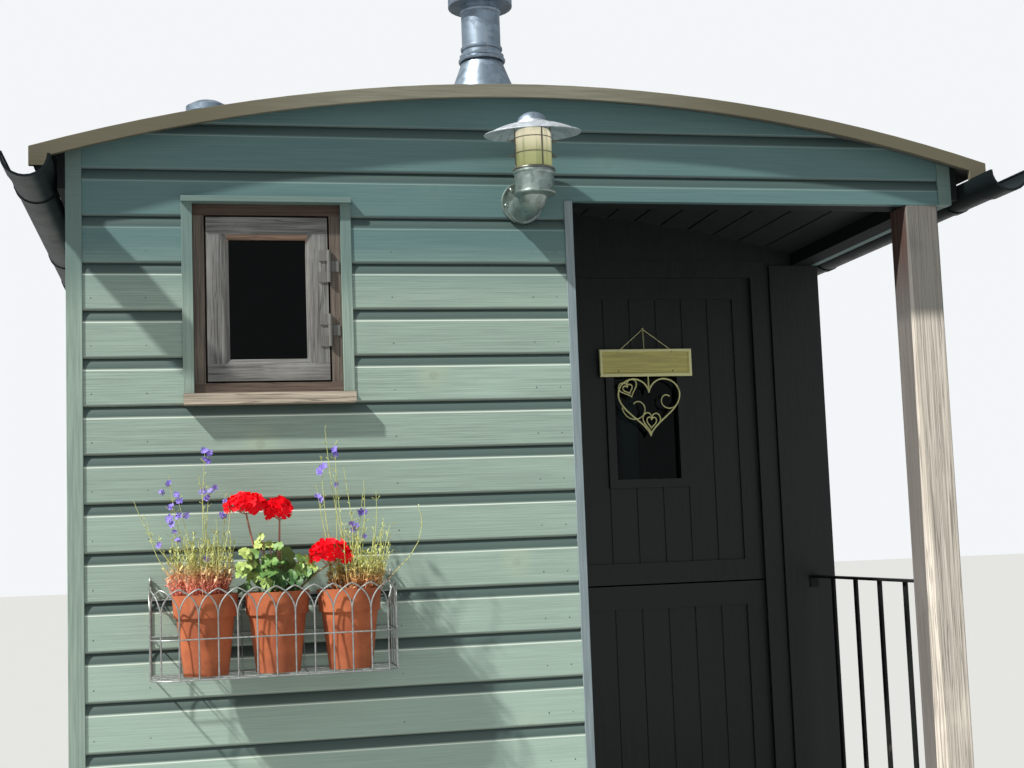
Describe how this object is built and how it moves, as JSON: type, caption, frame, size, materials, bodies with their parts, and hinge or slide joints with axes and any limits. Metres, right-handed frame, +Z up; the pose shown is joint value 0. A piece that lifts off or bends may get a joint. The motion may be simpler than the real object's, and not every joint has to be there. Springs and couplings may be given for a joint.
{
  "type": "shepherd hut",
  "caption": "Shepherd hut on iron wheels: lapped board walls, a curved roof, an open corner porch with a stable door, opening windows, a turntable axle and a drawbar.",
  "frame": {"origin": "on the ground under the middle of the part's box", "axes": "+Z up; the porch end faces -Y and the drawbar end +Y; +X is to the right of someone who faces the porch end"},
  "size_m": [2.727, 6.4324, 3.472],
  "materials": {
    "chassis_steel": "worn black paint over steel",
    "wheel_iron": "dark iron, rubbed bright on the tread",
    "floor_timber": "plain oiled boards",
    "deck_timber": "weathered softwood",
    "inner_lining": "painted boards, satin",
    "charcoal_timber": "charcoal paint, satin",
    "oak": "weathered oak with checks",
    "green_boards": "sage green paint, matt",
    "slate_trim": "slate grey paint, matt",
    "roof_metal": "coated sheet, satin",
    "roof_trim": "brown grey paint, matt",
    "gutter_black": "black, glossy",
    "galvanised": "dull galvanised steel",
    "stove_iron": "matt black stove paint",
    "window_oak": "stained oak, weathered",
    "window_sash": "stained oak, greyed",
    "glass": "clear",
    "railing_iron": "black paint, satin",
    "lantern_metal": "galvanised and painted, dull",
    "lantern_glass": "clear",
    "basket_wire": "black coated wire",
    "terracotta": "unglazed clay"
  },
  "bodies": {
    "root": {"chassis_frame": "chassis_steel", "fixed_axle": "chassis_steel", "floor": "floor_timber", "porch_deck": "deck_timber", "front_wall": "inner_lining", "left_wall": "inner_lining", "right_wall": "inner_lining", "rear_wall": "inner_lining", "porch_side_wall": "charcoal_timber", "porch_back_wall": "charcoal_timber", "porch_ceiling": "charcoal_timber", "header_beam": "charcoal_timber", "eaves_beam": "charcoal_timber", "porch_post": "oak", "front_boards": "green_boards", "rear_boards": "green_boards", "left_boards": "green_boards", "right_boards": "green_boards", "green_trims": "green_boards", "porch_corner_trim": "slate_trim", "roof_deck": "inner_lining", "roof_sheet": "roof_metal", "roof_end_trims": "roof_trim", "eaves_fascias": "charcoal_timber", "gutter_left": "gutter_black", "gutter_right": "gutter_black", "flue_pipe": "galvanised", "flue_cone": "galvanised", "roof_vent": "galvanised", "stove": "stove_iron", "porch_trims": "charcoal_timber", "door_frame": "charcoal_timber", "porch_railing": "railing_iron", "lantern": "lantern_metal", "lantern_glass": "lantern_glass", "flower_basket": "basket_wire", "flower_pots": "terracotta", "porch_steps": "deck_timber", "window_frame_front": "window_oak", "window_frame_left": "window_oak", "window_frame_right": "window_oak"},
    "fore_carriage": {"fore_carriage": "chassis_steel"},
    "drawbar": {"drawbar": "chassis_steel"},
    "wheel_fixed_left": {"wheel_fixed_left": "wheel_iron"},
    "wheel_fixed_right": {"wheel_fixed_right": "wheel_iron"},
    "wheel_steer_left": {"wheel_steer_left": "wheel_iron"},
    "wheel_steer_right": {"wheel_steer_right": "wheel_iron"},
    "door_upper": {"door_upper_leaf": "charcoal_timber", "door_glass": "glass"},
    "door_lower": {"door_lower_leaf": "charcoal_timber"},
    "sash_front": {"window_sash_front": "window_sash", "window_glass_front": "glass"},
    "sash_left": {"window_sash_left": "window_sash", "window_glass_left": "glass"},
    "sash_right": {"window_sash_right": "window_sash", "window_glass_right": "glass"}
  },
  "joints": [
    {"name": "wheel_fixed_left_spin", "type": "hinge", "parent": "root", "child": "wheel_fixed_left", "pos_m": [-0.93, -1.65217, 0.28], "axis": [1, 0, 0], "continuous": true},
    {"name": "wheel_fixed_right_spin", "type": "hinge", "parent": "root", "child": "wheel_fixed_right", "pos_m": [0.93, -1.65217, 0.28], "axis": [1, 0, 0], "continuous": true},
    {"name": "wheel_steer_left_spin", "type": "hinge", "parent": "fore_carriage", "child": "wheel_steer_left", "pos_m": [-0.93, 1.76783, 0.23], "axis": [1, 0, 0], "continuous": true},
    {"name": "wheel_steer_right_spin", "type": "hinge", "parent": "fore_carriage", "child": "wheel_steer_right", "pos_m": [0.93, 1.76783, 0.23], "axis": [1, 0, 0], "continuous": true},
    {"name": "turntable", "type": "hinge", "parent": "root", "child": "fore_carriage", "pos_m": [0, 1.76783, 0.49], "axis": [0, 0, 1], "range_deg": [-35, 35]},
    {"name": "drawbar_lift", "type": "hinge", "parent": "fore_carriage", "child": "drawbar", "pos_m": [0, 2.02783, 0.23], "axis": [1, 0, 0], "range_deg": [0, 30]},
    {"name": "door_upper_hinge", "type": "hinge", "parent": "root", "child": "door_upper", "pos_m": [0.9885, -1.53717, 2.102], "axis": [0, 0, -1], "range_deg": [0, 95]},
    {"name": "door_lower_hinge", "type": "hinge", "parent": "root", "child": "door_lower", "pos_m": [0.9885, -1.53717, 1.11], "axis": [0, 0, -1], "range_deg": [0, 95]},
    {"name": "sash_front_hinge", "type": "hinge", "parent": "root", "child": "sash_front", "pos_m": [-0.5635, -2.54817, 2.415], "axis": [0, 0, 1], "range_deg": [0, 80]},
    {"name": "sash_left_hinge", "type": "hinge", "parent": "root", "child": "sash_left", "pos_m": [-1.217, 0.2915, 2.14], "axis": [0, 0, 1], "range_deg": [0, 80]},
    {"name": "sash_right_hinge", "type": "hinge", "parent": "root", "child": "sash_right", "pos_m": [1.217, 0.9085, 2.14], "axis": [0, 0, 1], "range_deg": [0, 80]}
  ]
}
